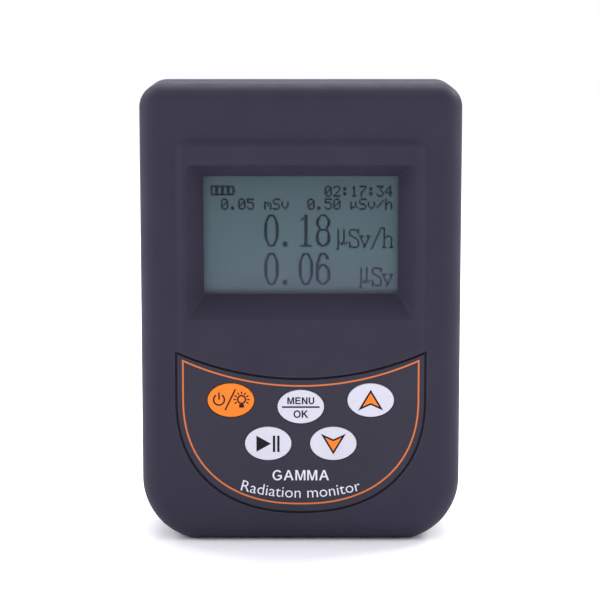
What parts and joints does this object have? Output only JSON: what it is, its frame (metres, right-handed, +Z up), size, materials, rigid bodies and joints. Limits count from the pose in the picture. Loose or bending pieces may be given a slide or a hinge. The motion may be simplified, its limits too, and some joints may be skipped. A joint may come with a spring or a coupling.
{
  "type": "geiger counter",
  "caption": "Pocket radiation dose meter with a dot-matrix display, a curved keypad, a detector tube inside, a battery door and a sprung belt clip.",
  "frame": {"origin": "middle of the bounding box, on the surface that the instrument stands on", "axes": "+Z up along the case, the display and keypad face -Y, +X to the right of someone who reads the display"},
  "size_m": [0.072, 0.036, 0.1036],
  "materials": {
    "shell": "fine texture, dark violet grey",
    "keypad_film": "smooth satin film",
    "key_white": "matt white",
    "key_orange": "matt orange",
    "lens": "clear window",
    "display_glass": "grey-green display glass",
    "diffuser": "white diffusing plastic",
    "board": "green solder mask",
    "black_plastic": "moulded black",
    "switch_steel": "thin stamped cover",
    "steel": "plated steel",
    "tube_metal": "matt metal tube",
    "brass": "satin brass",
    "ferrite": "sintered ferrite",
    "capacitor_orange": "dipped resin",
    "cell_wrap": "plastic-wrapped can",
    "foam": "soft closed-cell foam",
    "ribbon": "amber film"
  },
  "bodies": {
    "case": {"front_shell": "shell", "rear_shell": "shell", "keypad_overlay": "keypad_film", "display_window": "lens", "lcd_glass": "display_glass", "lcd_backlight": "diffuser", "lcd_frame": "diffuser", "main_board": "board", "microcontroller": "black_plastic", "buzzer": "black_plastic", "switch_body_power": "switch_steel", "switch_body_menu": "switch_steel", "switch_body_up": "switch_steel", "switch_body_play": "switch_steel", "switch_body_down": "switch_steel", "board_screw_left": "steel", "board_screw_right": "steel", "case_screw_top_left": "steel", "case_screw_top_right": "steel", "case_screw_bottom_left": "steel", "case_screw_bottom_right": "steel", "bracket_screw_left": "steel", "bracket_screw_right": "steel", "clip_bracket": "steel", "clip_pin": "steel", "clip_spring": "steel", "battery_spring_lower": "steel", "battery_spring_upper": "steel", "contact_bridge": "steel", "contact_positive": "steel", "contact_negative": "steel", "vibration_motor": "steel", "crystal": "steel", "gm_tube": "tube_metal", "tube_filter": "brass", "tube_clip_left": "brass", "tube_clip_right": "brass", "hv_transformer": "ferrite", "hv_capacitor": "capacitor_orange", "cell_lower": "cell_wrap", "cell_upper": "cell_wrap", "lcd_ribbon": "ribbon"},
    "power_key": {"key_power": "key_orange", "switch_stem_power": "black_plastic"},
    "menu_key": {"key_menu": "key_white", "switch_stem_menu": "black_plastic"},
    "up_key": {"key_up": "key_white", "switch_stem_up": "black_plastic"},
    "play_key": {"key_play": "key_white", "switch_stem_play": "black_plastic"},
    "down_key": {"key_down": "key_white", "switch_stem_down": "black_plastic"},
    "clip": {"belt_clip": "shell"},
    "door": {"battery_door": "shell", "door_pad": "foam"},
    "weight": {"motor_weight": "brass"}
  },
  "joints": [
    {"name": "power_press", "type": "slide", "parent": "case", "child": "power_key", "axis": [0, 1, 0], "range_m": [0, 0.0003], "stiffness_N_per_m": 2000},
    {"name": "menu_press", "type": "slide", "parent": "case", "child": "menu_key", "axis": [0, 1, 0], "range_m": [0, 0.0003], "stiffness_N_per_m": 2000},
    {"name": "up_press", "type": "slide", "parent": "case", "child": "up_key", "axis": [0, 1, 0], "range_m": [0, 0.0003], "stiffness_N_per_m": 2000},
    {"name": "play_press", "type": "slide", "parent": "case", "child": "play_key", "axis": [0, 1, 0], "range_m": [0, 0.0003], "stiffness_N_per_m": 2000},
    {"name": "down_press", "type": "slide", "parent": "case", "child": "down_key", "axis": [0, 1, 0], "range_m": [0, 0.0003], "stiffness_N_per_m": 2000},
    {"name": "clip_pivot", "type": "hinge", "parent": "case", "child": "clip", "pos_m": [0, 0.014, 0.08], "axis": [1, 0, 0], "range_deg": [0, 19], "stiffness_Nm_per_rad": 0.08, "springref_deg": -17.19, "deforming": ["clip_spring"]},
    {"name": "door_hinge", "type": "hinge", "parent": "case", "child": "door", "pos_m": [0, 0.0112, 0.0107], "axis": [-1, 0, 0], "range_deg": [0, 80]},
    {"name": "weight_spin", "type": "hinge", "parent": "case", "child": "weight", "pos_m": [-0.0118, -0.0013, 0.062], "axis": [1, 0, 0], "continuous": true}
  ]
}
